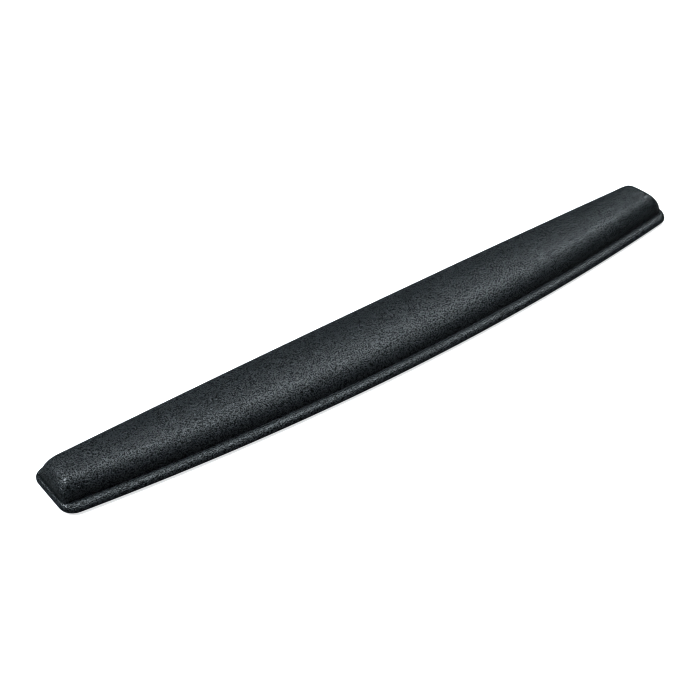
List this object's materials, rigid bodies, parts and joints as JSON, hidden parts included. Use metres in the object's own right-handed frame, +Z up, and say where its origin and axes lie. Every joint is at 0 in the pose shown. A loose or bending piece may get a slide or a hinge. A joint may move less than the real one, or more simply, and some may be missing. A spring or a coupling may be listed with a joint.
{
  "type": "wrist rest",
  "caption": "Long low padded wrist rest with a bowed front edge, a rolled rim and a domed crown, laid in front of a keyboard to support the wrists.",
  "frame": {"origin": "on the desk surface, at the centre of the footprint's bounding box", "axes": "+X along the rest, +Y from the user towards the keyboard, +Z up"},
  "size_m": [0.47, 0.0628, 0.019],
  "materials": {
    "leatherette": "black fine-pebble embossed leatherette, satin",
    "memory_foam": "open-cell memory foam, cream, matte",
    "firm_foam": "firm open-cell foam, dark grey, matte",
    "adhesive": "double-sided adhesive film, translucent cream",
    "moulded_plastic": "moulded black plastic, fine spark texture",
    "grip_rubber": "black rubber with a fine embossed grip pattern, matte"
  },
  "bodies": {
    "root": {"cover": "leatherette", "comfort_layer": "memory_foam", "support_core": "firm_foam", "core_bond_sheet": "adhesive", "base_plate": "moulded_plastic", "hem_bond_tape": "adhesive", "base_bond_sheet": "adhesive", "nonslip_sheet": "grip_rubber"}
  },
  "joints": []
}
